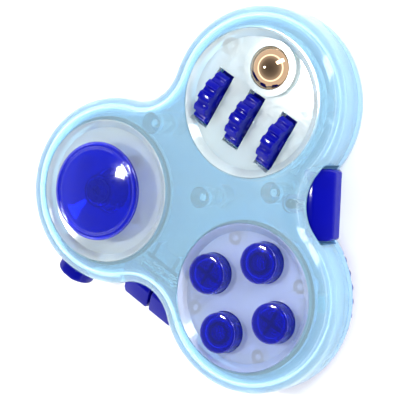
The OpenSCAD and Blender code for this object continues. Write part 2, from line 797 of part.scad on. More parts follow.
// Hollow button number k with a cross or an octagon inside its roof
module button(k) {
    low = button_flange_top - button_flange_t;
    inner_r = button_r - button_wall;
    a = BUTTON_ANGLES[k];
    color(blue_color) at_lobe(BUTTONS) ring(0, [button_ring_r, [a]]) rotate(a) {
        rotate_extrude() {
            polygon([[inner_r, low], [button_flange_r, low], [button_flange_r, button_flange_top],
                [button_r, button_flange_top], [button_r, button_top - button_edge],
                [button_r - button_edge, button_top], [0, button_top], [0, button_top - button_roof],
                [inner_r, button_top - button_roof]]);
            translate([button_r - button_edge, button_top - button_edge]) circle(button_edge);
        }
        if (k % 2 == 1) {
            for (s = [0, 90]) rotate(s) block([-inner_r - weld, -button_rib_half, button_rib_z],
                [inner_r + weld, button_rib_half, button_top - button_roof + weld]);
        } else {
            translate([0, 0, button_rib_z]) difference() {
                cylinder(r = octagon_r, h = button_top - button_roof - button_rib_z + weld, $fn = 8);
                translate([0, 0, -over]) cylinder(r = octagon_r - 0.7, h = body_t, $fn = 8);
            }
        }
    }
}
module button_1() { button(0); }
module button_2() { button(1); }
module button_3() { button(2); }
module button_4() { button(3); }

module button_spring(k) {
    color(steel_color) at_lobe(BUTTONS) ring(carrier_top, [button_ring_r, [BUTTON_ANGLES[k]]])
        tube(button_spring_r, button_spring_r - wire, button_rib_z - carrier_top);
}
module button_spring_1() { button_spring(0); }
module button_spring_2() { button_spring(1); }
module button_spring_3() { button_spring(2); }
module button_spring_4() { button_spring(3); }

// Bevelled bar along a valley, from t0 to t1, with its outer end corners cut
module bar(back_n, out_n, t0, t1, cut0, cut1) {
    intersection() {
        translate([0, t1, 0]) rotate([90, 0, 0]) linear_extrude(t1 - t0) polygon([
            [back_n, bar_z], [out_n - bar_low_bevel, bar_z], [out_n, bar_z + bar_low_bevel],
            [out_n, bar_top - bar_bevel_z], [out_n - bar_bevel_in, bar_top], [back_n, bar_top]]);
        linear_extrude(body_t) polygon([[back_n, t0], [out_n - cut0, t0], [out_n, t0 + cut0 * 0.6],
            [out_n, t1 - cut1 * 0.6], [out_n - cut1, t1], [back_n, t1]]);
    }
}

module rocker() {
    color(blue_color) at_valley(ROCKER_VALLEY) difference() {
        union() {
            bar(rocker_pivot_n, rocker_out, -rocker_half, rocker_half, bar_corner, bar_corner);
            translate([rocker_pivot_n, 0, bar_z]) cylinder(r = rocker_hub_r, h = bar_top - bar_z);
        }
        translate([rocker_pivot_n, 0, 0]) cylinder(r = rocker_pin_r + run_gap, h = body_t);
        translate([rocker_pivot_n, 0, rocker_mid_z - rocker_slot_half])
            cylinder(r = rocker_hub_r + slide_gap, h = 2 * rocker_slot_half);
    }
}

module rocker_pin() {
    color(steel_color) at_valley(ROCKER_VALLEY) translate([rocker_pivot_n, 0, floor_z + 0.6])
        cylinder(r = rocker_pin_r, h = roof_z - floor_z);
}

module rocker_spring() {
    low = rocker_mid_z - rocker_slot_half + 0.2;
    color(steel_color) at_valley(ROCKER_VALLEY) translate([rocker_pivot_n, 0, low])
        tube(rocker_pin_r + 0.15 + wire, rocker_pin_r + 0.1, 2 * rocker_slot_half - 0.4);
}

// Trigger on the side s of the groove
module trigger(s) {
    half = trigger_half;
    t0 = trigger_split / 2;
    color(blue_color) at_valley(TRIGGER_VALLEY) scale([1, s, 1]) {
        bar(trigger_back_n, trigger_out, t0, half, 0.25, bar_corner);
        block([trigger_back_n, half - weld, bar_z + 0.4],
            [trigger_ear_n, half + trigger_ear_t, bar_top - 0.6]);
    }
}
module trigger_1() { trigger(-1); }
module trigger_2() { trigger(1); }

module trigger_spring(s) {
    n0 = rib_n + rib_t;
    color(steel_color) at_valley(TRIGGER_VALLEY) translate([n0, s * rib_half * 0.55, rocker_mid_z])
        rotate([0, 90, 0]) tube(spring_r, spring_r - wire, trigger_back_n - n0);
}
module trigger_spring_1() { trigger_spring(-1); }
module trigger_spring_2() { trigger_spring(1); }

module side_button() {
    inner = side_flange_r;
    color(blue_color) at_side() {
        intersection() {
            translate([inner, 0, side_z]) rotate([90, 0, 90]) linear_extrude(side_out - inner + over) {
                square([side_w - 2 * side_corner, side_h], center = true);
                square([side_w, side_h - 2 * side_corner], center = true);
                for (x = [-1, 1], y = [-1, 1])
                    translate([x * (side_w / 2 - side_corner), y * (side_h / 2 - side_corner)])
                        circle(side_corner);
            }
            translate([side_out - side_dome_r, 0, side_z]) sphere(side_dome_r);
        }
        block([inner, -side_w / 2 - side_flange_w, side_z - side_h / 2],
            [inner + side_flange_t, side_w / 2 + side_flange_w, side_z + side_h / 2]);
    }
}

module side_button_spring() {
    r0 = side_rib_r + rib_t;
    color(steel_color) at_side() translate([r0, 0, side_z]) rotate([0, 90, 0])
        tube(spring_r, spring_r - wire, side_flange_r - r0);
}

// Knurled dial with a dished rear face, a hub bore and detent pockets in its front face
module thumb_dial() {
    color(blue_color) at_lobe(BUTTONS) difference() {
        translate([0, 0, dial_z]) linear_extrude(dial_t) polygon([for (k = [0:2 * dial_knurls - 1])
            polar(dial_r - (k % 2) * knurl_depth, 180 * k / dial_knurls)]);
        translate([0, 0, dial_z - over]) cylinder(r = hub_r + run_gap, h = dial_t + 2 * over);
        translate([0, 0, dial_z - over]) cylinder(r = washer_r + slide_gap, h = over + counterbore_t);
        translate([0, 0, dial_z - over]) cylinder(r1 = dish_out_r, r2 = dish_in_r, h = over + dish_t);
        ring(dial_top - detent_pocket_t, [detent_ring_r, [0:detent_step:359]])
            cylinder(r = pin_r + 0.1, h = over, $fn = 32);
    }
}

module dial_washer() {
    color(steel_color) at_lobe(BUTTONS) translate([0, 0, hub_low - washer_t])
        tube(washer_r, small_screw_r + lay_gap, washer_t);
}

module dial_screw() {
    color(steel_color) at_lobe(BUTTONS) translate([0, 0, hub_low - washer_t])
        screw(dial_head_r, hub_low - washer_t - dial_head_low, small_screw_r, washer_t + dial_screw_depth);
}

// Housing of the spring-loaded pin that clicks in the dial's pockets
module detent_block() {
    color("teal") at_lobe(BUTTONS) difference() {
        block([block_x0, -block_half, block_z0], [block_x1, block_half, block_z1]);
        translate([detent_ring_r, 0, block_z0 - over])
            cylinder(r = pin_bore_r, h = pin_bore_top - block_z0 + over);
    }
}

module detent_pin() {
    color(steel_color) at_lobe(BUTTONS) translate([detent_ring_r, 0, 0]) {
        translate([0, 0, pin_low + pin_r]) cylinder(r = pin_r, h = pin_top - pin_low - pin_r);
        translate([0, 0, pin_low + pin_r]) sphere(pin_r, $fn = 48);
    }
}

module detent_spring() {
    color(steel_color) at_lobe(BUTTONS) translate([detent_ring_r, 0, pin_top])
        tube(pin_bore_r - lay_gap, pin_bore_r - lay_gap - 0.35, pin_bore_top - pin_top);
}

module case_screws() {
    color(steel_color) {
        at_shell_screws() case_screw();
        at_gear_screws() case_screw();
    }
}

module case_screw() {
    translate([0, 0, head_floor])
        screw(case_head_r, head_h, case_screw_r, case_screw_top - 0.2 - head_floor);
}

front_shell();
rear_shell();
stick_panel();
gear_panel();
button_panel();
stick_base();
stick_base_screws();
stick_spring();
stick_gimbal();
stick_stem();
stick_cap();
gear_cradle();
gear_cradle_screws();
gear_axle();
gear_wheel_1();
gear_wheel_2();
gear_wheel_3();
ball_seat();
steel_ball();
button_carrier();
button_carrier_screws();
button_1();
button_2();
button_3();
button_4();
button_spring_1();
button_spring_2();
button_spring_3();
button_spring_4();
rocker();
rocker_pin();
rocker_spring();
trigger_1();
trigger_2();
trigger_spring_1();
trigger_spring_2();
side_button();
side_button_spring();
thumb_dial();
dial_washer();
dial_screw();
detent_block();
detent_pin();
detent_spring();
case_screws();
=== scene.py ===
"""Three-lobed fidget pad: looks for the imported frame, laid out as an add-on and run as a script."""

import json
import math

import bmesh
import bpy
from bpy.props import FloatProperty, FloatVectorProperty, IntProperty, PointerProperty
from mathutils import Matrix, Vector


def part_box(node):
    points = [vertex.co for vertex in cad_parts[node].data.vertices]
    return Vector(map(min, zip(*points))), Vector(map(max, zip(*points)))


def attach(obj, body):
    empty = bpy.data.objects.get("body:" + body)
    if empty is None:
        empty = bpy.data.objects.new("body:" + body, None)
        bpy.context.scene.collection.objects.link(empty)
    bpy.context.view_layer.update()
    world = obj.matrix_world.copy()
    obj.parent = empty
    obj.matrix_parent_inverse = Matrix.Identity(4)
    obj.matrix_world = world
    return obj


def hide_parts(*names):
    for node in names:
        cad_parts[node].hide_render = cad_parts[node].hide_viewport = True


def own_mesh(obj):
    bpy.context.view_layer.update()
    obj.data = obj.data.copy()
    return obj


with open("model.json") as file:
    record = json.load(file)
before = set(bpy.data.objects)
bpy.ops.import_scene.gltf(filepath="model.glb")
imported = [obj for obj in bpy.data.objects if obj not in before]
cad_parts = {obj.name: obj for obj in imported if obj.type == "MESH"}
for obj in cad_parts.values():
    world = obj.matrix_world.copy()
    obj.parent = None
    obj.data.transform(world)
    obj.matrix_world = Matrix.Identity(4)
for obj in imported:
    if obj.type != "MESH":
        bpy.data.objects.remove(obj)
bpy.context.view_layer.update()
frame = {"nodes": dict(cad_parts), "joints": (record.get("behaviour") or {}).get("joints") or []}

bl_info = {
    "name": "Fidget Pad",
    "version": (1, 0, 0),
    "blender": (4, 5, 0),
    "location": "View3D > Sidebar > Fidget Pad",
    "description": "Builds the shell, controls and mechanism of a three-lobed fidget pad",
    "category": "Object",
}

MM = 0.001
NODES = frame["nodes"]
JOINTS = {joint["name"]: joint for joint in frame["joints"]}


# Places taken from the frame


def middle(node):
    """Centre of a node's box."""
    low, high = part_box(node)
    return (low + high) / 2


def span(node):
    """Size of a node's box."""
    low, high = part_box(node)
    return high - low


def pivot(joint):
    """Point on a joint's axis."""
    return Vector(JOINTS[joint]["pos_m"])


def plan_angle(vector):
    """Angle of a vector in plan, in radians."""
    return math.atan2(vector.y, vector.x)


STICK_XY = pivot("stick_tilt_x").to_2d()
BUTTON_XY = pivot("dial_spin").to_2d()
GEAR_XY = middle("gear_panel").to_2d()


# Settings that a user would change


class FidgetPadLook(bpy.types.PropertyGroup):
    """Colours and finishes of the pad."""

    shell_color: FloatVectorProperty(
        name="Shell colour", description="Tint of the translucent shell", subtype="COLOR",
        size=3, min=0, max=1, default=(0.5, 0.8, 1.0))
    rear_color: FloatVectorProperty(
        name="Rear colour", description="Tint of the rear shell, seen through the front one", subtype="COLOR",
        size=3, min=0, max=1, default=(0.38, 0.69, 1.0))
    panel_color: FloatVectorProperty(
        name="Panel colour", description="Tint of the clear lobe panels", subtype="COLOR",
        size=3, min=0, max=1, default=(0.86, 0.97, 1.0))
    # Button panel colour: partly the panel's own lavender tint, partly painted blue shade from the buttons
    # and their parts.
    tint_color: FloatVectorProperty(
        name="Button panel colour", description="Tint of the panel round the buttons", subtype="COLOR",
        size=3, min=0, max=1, default=(0.64, 0.75, 1.0))
    shell_clarity: FloatProperty(
        name="Shell clarity", description="Share of the light that passes through the shell",
        subtype="FACTOR", min=0, max=1, default=0.76)
    clear_color: FloatVectorProperty(
        name="Button colour", description="Tint of the see-through cap and buttons", subtype="COLOR",
        size=3, min=0, max=1, default=(0.0005, 0.012, 0.68))
    control_color: FloatVectorProperty(
        name="Control colour", description="Blue of the gears, bars, side button and dial", subtype="COLOR",
        size=3, min=0, max=1, default=(0.0002, 0.001, 0.21))
    control_roughness: FloatProperty(
        name="Control roughness", description="Roughness of the blue controls",
        subtype="FACTOR", min=0, max=1, default=0.1)


class FidgetPadSizes(bpy.types.PropertyGroup):
    """Sizes of the controls' details."""

    button_flange: FloatProperty(
        name="Button flange", description="Width of the flange that keeps a button in", subtype="DISTANCE",
        unit="LENGTH", min=0.0002, max=0.002, default=0.00075, precision=5)
    button_wall: FloatProperty(
        name="Button wall", description="Wall thickness of a hollow button", subtype="DISTANCE",
        unit="LENGTH", min=0.0005, max=0.002, default=0.001, precision=5)
    button_edge: FloatProperty(
        name="Button edge", description="Rounding of a button's edges", subtype="DISTANCE",
        unit="LENGTH", min=0.0001, max=0.001, default=0.0006, precision=5)
    control_edge: FloatProperty(
        name="Control edge", description="Rounding of the rocker's and triggers' edges", subtype="DISTANCE",
        unit="LENGTH", min=0.0001, max=0.001, default=0.0003, precision=5)
    gear_teeth: IntProperty(
        name="Gear teeth", description="Number of teeth round a thumb gear", min=8, max=16, default=12)
    tooth_depth: FloatProperty(
        name="Tooth depth", description="Depth between two teeth", subtype="DISTANCE",
        unit="LENGTH", min=0.0002, max=0.001, default=0.0007, precision=5)
    gear_edge: FloatProperty(
        name="Gear edge", description="Rounding of a gear's side edges", subtype="DISTANCE",
        unit="LENGTH", min=0.0001, max=0.001, default=0.0002, precision=5)
    wire: FloatProperty(
        name="Spring wire", description="Diameter of the spring wire", subtype="DISTANCE",
        unit="LENGTH", min=0.0001, max=0.001, default=0.00045, precision=5)
    dial_knurls: IntProperty(
        name="Dial knurls", description="Number of knurls round the dial", min=24, max=60, default=40)
    knurl_depth: FloatProperty(
        name="Knurl depth", description="Depth between two knurls", subtype="DISTANCE",
        unit="LENGTH", min=0.0002, max=0.001, default=0.0006, precision=5)


def look():
    """The pad's look settings."""
    return bpy.context.scene.fidget_pad_look


# Materials


def new_material(name):
    """New node material, its node tree and its Principled shader."""
    material = bpy.data.materials.new(name)
    material.use_nodes = True
    return material, material.node_tree, material.node_tree.nodes["Principled BSDF"]


def noise(tree, scale, detail=3.0):
    """Object-space noise, scale in cycles per metre."""
    coords = tree.nodes.new("ShaderNodeTexCoord")
    texture = tree.nodes.new("ShaderNodeTexNoise")
    texture.inputs["Scale"].default_value = scale
    texture.inputs["Detail"].default_value = detail
    tree.links.new(coords.outputs["Object"], texture.inputs["Vector"])
    return texture.outputs["Fac"]


def ramp(tree, factor, low, high):
    """Ramp between two colours over the middle of the noise's range."""
    node = tree.nodes.new("ShaderNodeValToRGB")
    for stop, position, color in zip(node.color_ramp.elements, (0.35, 0.65), (low, high)):
        stop.position = position
        stop.color = (*color, 1)
    tree.links.new(factor, node.inputs["Fac"])
    return node.outputs["Color"]


def bump(tree, shader, factor, strength, depth):
    """Fine relief on a shader's normal, depth in metres."""
    node = tree.nodes.new("ShaderNodeBump")
    node.inputs["Strength"].default_value = strength
    node.inputs["Distance"].default_value = depth
    tree.links.new(factor, node.inputs["Height"])
    tree.links.new(node.outputs["Normal"], shader.inputs["Normal"])


def grey(value):
    """A value as a colour, for ramps that carry roughness."""
    return (value, value, value)


def shade(color, factor):
    """A colour made darker or lighter."""
    return tuple(min(1.0, channel * factor) for channel in color)


def plastic(name, color, roughness, variation=0.12, relief=0.004 * MM, gloss=0.5):
    """Moulded plastic: faint flow marks in the colour, uneven gloss and a fine grain."""
    material, tree, shader = new_material(name)
    flow = noise(tree, 90, 2)
    grain = noise(tree, 1400, 3)
    tree.links.new(ramp(tree, flow, shade(color, 1 - variation), shade(color, 1 + variation)),
                   shader.inputs["Base Color"])
    tree.links.new(ramp(tree, grain, grey(roughness * 0.8), grey(roughness * 1.25)),
                   shader.inputs["Roughness"])
    bump(tree, shader, grain, 0.25, relief)
    shader.inputs["IOR"].default_value = 1.5
    shader.inputs["Specular IOR Level"].default_value = gloss
    return material


def clear(name, color, roughness, through):
    """See-through plastic: part of the light passes, bent and tinted, and the rest scatters in it."""
    material = plastic(name, color, roughness, variation=0.03, relief=0.0015 * MM)
    material.node_tree.nodes["Principled BSDF"].inputs["Transmission Weight"].default_value = through
    return material


def metal(name, color, roughness, streaks=900):
    """Drawn or turned metal with fine streaks in its gloss."""
    material, tree, shader = new_material(name)
    marks = noise(tree, streaks, 4)
    tree.links.new(ramp(tree, marks, shade(color, 0.93), color), shader.inputs["Base Color"])
    tree.links.new(ramp(tree, marks, grey(roughness * 0.7), grey(roughness * 1.3)),
                   shader.inputs["Roughness"])
    shader.inputs["Metallic"].default_value = 1
    return material


def clothe(piece, material):
    """Gives a piece one material."""
    piece.data.materials.clear()
    piece.data.materials.append(material)


MATERIALS = {}


def make_materials():
    """All finishes of the pad, by name."""
    settings = look()
    blue = settings.control_color
    through = settings.shell_clarity
    MATERIALS.update({
        "shell": clear("clear_shell_plastic", settings.shell_color, 0.1, through),
        "rear": clear("clear_rear_plastic", settings.rear_color, 0.16, through * 0.7),
        "panel": clear("clear_panel_plastic", settings.panel_color, 0.07, through * 0.9),
        # The button panel's bluer colour is partly its own lavender tint and partly painted blue shade from
        # the buttons.
        "tint_and_painted_shade": clear("button_panel_tint_and_painted_shade_plastic", settings.tint_color, 0.08, through * 0.9),
        "cap": clear("thumb_cap_plastic", settings.clear_color, 0.04, 0.8),
        "button": clear("button_plastic", settings.clear_color, 0.05, 0.85),
        "blue": plastic("control_plastic", blue, settings.control_roughness, gloss=0.14),
        "stem": plastic("stem_plastic", shade(blue, 0.5), 0.3),
        "pale": plastic("frosted_carrier_plastic", (0.9, 0.95, 1.0), 0.35),
        "carrier": plastic("carrier_plastic", (0.5, 0.6, 1.0), 0.4),
        "teal": plastic("teal_plastic", (0.03, 0.3, 0.36), 0.4),
        # The ball's brown colour is a painted warm reflection: polished steel tinted to match the
        # surroundings it mirrors.
        "ball": metal("ball_steel_painted_warm_reflection", (0.4, 0.27, 0.17), 0.04, 60),
        "steel": metal("turned_steel", (0.62, 0.62, 0.64), 0.25),
        "wire": metal("spring_wire_steel", (0.55, 0.55, 0.57), 0.3),
        "zinc": metal("zinc_plated_steel", (0.66, 0.67, 0.7), 0.3),
    })


NODE_FINISH = {
    "front_shell": "shell", "rear_shell": "rear", "stick_panel": "panel", "gear_panel": "panel",
    "button_panel": "tint_and_painted_shade", "stick_base": "carrier", "gear_cradle": "pale", "ball_seat": "pale",
    "button_carrier": "carrier", "detent_block": "teal", "gear_axle": "steel", "rocker_pin": "steel",
    "stick_gimbal": "steel", "detent_pin": "steel", "steel_ball": "ball", "stick_cap": "cap",
    "stick_stem": "stem", "rocker": "blue", "trigger_1": "blue", "trigger_2": "blue",
    "side_button": "blue", "thumb_dial": "blue", "dial_washer": "zinc", "dial_screw": "zinc",
    "case_screws": "zinc", "stick_base_screws": "zinc", "gear_cradle_screws": "zinc",
    "button_carrier_screws": "zinc", "button_1": "button", "button_2": "button", "button_3": "button",
    "button_4": "button", "gear_wheel_1": "blue", "gear_wheel_2": "blue", "gear_wheel_3": "blue",
}
WELD_DISTANCE = 0.001 * MM


def smooth_node(piece, angle=30):
    """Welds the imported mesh's split vertices and shades it smooth up to an angle."""
    mesh = piece.data
    if "custom_normal" in mesh.attributes:
        mesh.attributes.remove(mesh.attributes["custom_normal"])
    mesh.polygons.foreach_set("use_smooth", [True] * len(mesh.polygons))
    weld = piece.modifiers.new("weld", "WELD")
    weld.merge_threshold = WELD_DISTANCE
    split = piece.modifiers.new("sharp_edges", "EDGE_SPLIT")
    split.split_angle = math.radians(angle)


class FIDGETPAD_OT_case(bpy.types.Operator):
    """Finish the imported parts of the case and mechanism"""

    bl_idname = "fidget_pad.case"
    bl_label = "Case and Mechanism"

    def execute(self, context):
        make_materials()
        for name, piece in NODES.items():
            clothe(piece, MATERIALS[NODE_FINISH.get(name, "wire")])
            smooth_node(piece)
        return {"FINISHED"}


# Mesh tools: every piece is made in its own frame, Z along its axis, in metres

TINY = 1e-7


def ring_points(radius, height, count):
    """Circle of points about Z."""
    return [Vector((radius * math.cos(math.tau * k / count), radius * math.sin(math.tau * k / count), height))
            for k in range(count)]


def soften(points, radius, steps=4, closed=False):
    """A polyline with its corners rounded, as far as its stretches allow."""
    rounded = []
    count = len(points)
    for index, corner in enumerate(points):
        corner = Vector(corner)
        if not closed and index in (0, count - 1):
            rounded.append(corner)
            continue
        before = Vector(points[index - 1]) - corner
        after = Vector(points[(index + 1) % count]) - corner
        reach = min(radius, before.length * 0.45, after.length * 0.45)
        start = corner + before.normalized() * reach
        end = corner + after.normalized() * reach
        for step in range(steps + 1):
            share = step / steps
            rounded.append((1 - share) ** 2 * start + 2 * share * (1 - share) * corner + share ** 2 * end)
    return rounded


def skin(bm, loops, ends=True):
    """Faces between successive loops of points, which all have one count, and over both ends."""
    rows = [[bm.verts.new(point) for point in loop] for loop in loops]
    count = len(rows[0])
    for low, high in zip(rows, rows[1:]):
        for k in range(count):
            bm.faces.new((low[k], low[(k + 1) % count], high[(k + 1) % count], high[k]))
    if ends:
        bm.faces.new(list(reversed(rows[0])))
        bm.faces.new(rows[-1])


def ring_skin(bm, loops):
    """Faces between successive loops, and from the last back to the first."""
    skin(bm, loops + loops[:1], False)
    bmesh.ops.remove_doubles(bm, verts=bm.verts, dist=TINY / 10)


def turn(bm, profile, segments=96, place=Matrix.Identity(4)):
    """Solid turned about Z from (radius, height) points; an end on the axis closes in a point."""
    rows = []
    for radius, height in profile:
        if radius < TINY:
            rows.append([bm.verts.new(place @ Vector((0, 0, height)))])
        else:
            rows.append([bm.verts.new(place @ point) for point in ring_points(radius, height, segments)])
    for low, high in zip(rows, rows[1:] + ([rows[0]] if len(rows[0]) > 1 else [])):
        for k in range(segments):
            after = (k + 1) % segments
            corners = [low[k % len(low)], low[after % len(low)], high[after % len(high)], high[k % len(high)]]
            distinct = list(dict.fromkeys(corners))
            if len(distinct) > 2:
                bm.faces.new(distinct)


def tidy_normals(bm):
    """Turns every face outwards."""
    bmesh.ops.recalc_face_normals(bm, faces=bm.faces)


def soft_box(bm, low, high, edge, place=Matrix.Identity(4)):
    """Box between two corners with rounded edges."""
    made = bmesh.ops.create_cube(bm, size=1)
    size = Vector(high) - Vector(low)
    centre = (Vector(high) + Vector(low)) / 2
    for vert in made["verts"]:
        vert.co = Vector(vert.co[axis] * size[axis] + centre[axis] for axis in range(3))
    edges = list({e for vert in made["verts"] for e in vert.link_edges})
    bevelled = bmesh.ops.bevel(bm, geom=edges, offset=edge, segments=3, profile=0.5, affect="EDGES",
                               clamp_overlap=True)
    moved = set(made["verts"]) | set(bevelled["verts"])
    for vert in moved:
        if vert.is_valid:
            vert.co = place @ vert.co


def soft_hull(bm, points, edge, place=Matrix.Identity(4)):
    """Convex solid over the points, with rounded edges."""
    part = bmesh.new()
    for point in points:
        part.verts.new(point)
    bmesh.ops.convex_hull(part, input=part.verts)
    bmesh.ops.remove_doubles(part, verts=part.verts, dist=TINY)
    bmesh.ops.dissolve_limit(part, angle_limit=math.radians(1), verts=part.verts, edges=part.edges)
    bmesh.ops.bevel(part, geom=part.edges[:], offset=edge, segments=3, profile=0.5, affect="EDGES",
                    clamp_overlap=True)
    part.transform(place)
    mesh = bpy.data.meshes.new("part")
    part.to_mesh(mesh)
    part.free()
    bm.from_mesh(mesh)
    bpy.data.meshes.remove(mesh)


def coil(bm, radius, wire, length, turns, place=Matrix.Identity(4), sides=10, steps=28):
    """Compression spring along Z with closed ends."""
    total = int(turns * steps)
    flat = 0.75 / turns
    loops = []
    for k in range(total + 1):
        share = k / total
        rise = min(max((share - flat / 2) / (1 - flat), 0), 1)
        height = wire / 2 + (length - wire) * rise
        angle = math.tau * turns * share
        outward = Vector((math.cos(angle), math.sin(angle), 0))
        centre = outward * radius + Vector((0, 0, height))
        loops.append([place @ (centre + outward * math.cos(math.tau * s / sides) * wire / 2
                      + Vector((0, 0, math.sin(math.tau * s / sides) * wire / 2))) for s in range(sides)])
    skin(bm, loops)


def facing(direction, origin):
    """Frame at origin with Z along a direction in plan and X upright."""
    z_axis = Vector((direction.x, direction.y, 0)).normalized()
    x_axis = Vector((0, 0, 1))
    y_axis = z_axis.cross(x_axis)
    return Matrix.Translation(origin) @ Matrix((x_axis, y_axis, z_axis)).transposed().to_4x4()


def finish_piece(name, bm, body, finish, replaced=(), angle=32):
    """Makes the object, smooths it, gives it its finish and fixes it to its body."""
    tidy_normals(bm)
    mesh = bpy.data.meshes.new(name)
    bm.to_mesh(mesh)
    bm.free()
    mesh.polygons.foreach_set("use_smooth", [True] * len(mesh.polygons))
    piece = bpy.data.objects.new(name, mesh)
    bpy.context.scene.collection.objects.link(piece)
    split = piece.modifiers.new("sharp_edges", "EDGE_SPLIT")
    split.split_angle = math.radians(angle)
    clothe(piece, MATERIALS[finish])
    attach(piece, body)
    if replaced:
        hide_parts(*replaced)
    return piece


# Controls


def control_sizes():
    """The controls' size settings."""
    return bpy.context.scene.fidget_pad_sizes


def lobe_place(centre, height=0.0):
    """Frame on a lobe's axis at a height."""
    return Matrix.Translation((centre.x, centre.y, height))


def valley_frame(lobe_a, lobe_b):
    """Frame midway between two lobes: X outward, Y along the valley, Z up."""
    centre = (STICK_XY + BUTTON_XY + GEAR_XY) / 3
    mid = (lobe_a + lobe_b) / 2
    outward = (mid - centre).normalized()
    along = Vector((-outward.y, outward.x))
    axes = Matrix(((outward.x, along.x, 0), (outward.y, along.y, 0), (0, 0, 1)))
    return Matrix.Translation((mid.x, mid.y, 0)) @ axes.to_4x4()


def rounded_edge(radius, steps=5):
    """(inset, drop) pairs round an edge, from the side to the flat."""
    turns = [math.pi / 2 * k / steps for k in range(steps + 1)]
    return [(radius * (1 - math.cos(angle)), radius * (1 - math.sin(angle))) for angle in turns]


class FIDGETPAD_OT_thumb_stick(bpy.types.Operator):
    """Add the domed thumb cap and the stick's return spring"""

    bl_idname = "fidget_pad.thumb_stick"
    bl_label = "Thumb Stick"

    def execute(self, context):
        sizes = control_sizes()
        low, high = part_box("stick_cap")
        cap_r = (high.x - low.x) / 2
        dome_foot, dome_rise, dome_steps = 0.3 * MM, 0.55 * MM, 12
        rim_z = high.z - dome_foot - dome_rise
        under_z = low.z + 0.9 * MM
        groove_r, groove_half = cap_r * 0.87, 0.28 * MM
        boss_r = 3.3 * MM
        dome = [(groove_r * k / dome_steps, rim_z + dome_foot + dome_rise * (1 - (k / dome_steps) ** 2))
                for k in range(dome_steps)]
        edge = [(groove_r - groove_half, rim_z + 0.36 * MM), (groove_r, rim_z + 0.14 * MM),
                (groove_r + groove_half, rim_z + 0.4 * MM), (cap_r - 0.75 * MM, rim_z + 0.42 * MM),
                (cap_r - 0.2 * MM, rim_z + 0.2 * MM), (cap_r, rim_z - 0.25 * MM),
                (cap_r - 0.3 * MM, rim_z - 0.85 * MM), (cap_r - 1.1 * MM, under_z), (boss_r, under_z),
                (boss_r, low.z), (0, low.z)]
        bm = bmesh.new()
        turn(bm, [*dome[:-1], *[tuple(p) for p in soften([dome[-1], *edge], 0.22 * MM)]], 128,
             lobe_place(STICK_XY))
        finish_piece("thumb_cap", bm, "stick", "cap", ["stick_cap"], 50)
        low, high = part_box("stick_spring")
        spring_r = (high.x - low.x - sizes.wire) / 2
        bm = bmesh.new()
        coil(bm, spring_r, sizes.wire, high.z - low.z, 3, lobe_place(STICK_XY, low.z))
        finish_piece("stick_coil", bm, "case", "wire", ["stick_spring"])
        return {"FINISHED"}


def gear_outline(radius, teeth, depth, inset):
    """Outline of flat-topped teeth with small rounded corners, moved in by inset."""
    crest, foot = 0.22, 0.32
    corners = []
    for tooth in range(teeth):
        for share, drop in ((-crest, 0), (crest, 0), (foot, depth), (1 - foot, depth)):
            angle = math.tau * (tooth + share) / teeth
            reach = radius - inset - drop
            corners.append((reach * math.cos(angle), reach * math.sin(angle)))
    return soften(corners, 0.22 * MM, 4, True)


class FIDGETPAD_OT_thumb_gears(bpy.types.Operator):
    """Add the rounded thumb gears"""

    bl_idname = "fidget_pad.thumb_gears"
    bl_label = "Thumb Gears"

    def execute(self, context):
        sizes = control_sizes()
        bore_r, hub_r, half = 1.05 * MM, 1.95 * MM, 1.5 * MM
        web = half - 0.3 * MM
        for number in (1, 2, 3):
            radius = span(f"gear_wheel_{number}").z / 2
            web_r = radius * 0.6
            joint = JOINTS[f"gear_spin_{number}"]
            place = facing(Vector(joint["axis"]), pivot(joint["name"]))
            side = [(bore_r, half), (hub_r, half), (hub_r + 0.2 * MM, web), (web_r, web),
                    (web_r + 0.25 * MM, half)]
            rim = [[Vector((*p, half - drop)) for p in
                    gear_outline(radius, sizes.gear_teeth, sizes.tooth_depth, inset)]
                   for inset, drop in rounded_edge(sizes.gear_edge)]
            angles = [plan_angle(p) for p in rim[0]]
            circles = [[Vector((r * math.cos(a), r * math.sin(a), h)) for a in angles] for r, h in side]
            upper = circles + rim[::-1]
            lower = [[Vector((p.x, p.y, -p.z)) for p in loop] for loop in upper]
            loops = [[place @ p for p in loop] for loop in upper + lower[::-1]]
            bm = bmesh.new()
            ring_skin(bm, loops)
            finish_piece(f"thumb_gear_{number}", bm, f"gear_{number}", "blue",
                         [f"gear_wheel_{number}"])
        return {"FINISHED"}


class FIDGETPAD_OT_trackball(bpy.types.Operator):
    """Add the polished ball"""

    bl_idname = "fidget_pad.trackball"
    bl_label = "Trackball"

    def execute(self, context):
        radius = span("steel_ball").z / 2
        steps = 64
        arc = [(radius * math.sin(math.pi * k / steps), radius * math.cos(math.pi * k / steps))
               for k in range(steps + 1)]
        bm = bmesh.new()
        turn(bm, arc, 2 * steps, Matrix.Translation(pivot("ball_roll")))
        finish_piece("polished_ball", bm, "ball", "ball", ["steel_ball"], 60)
        return {"FINISHED"}


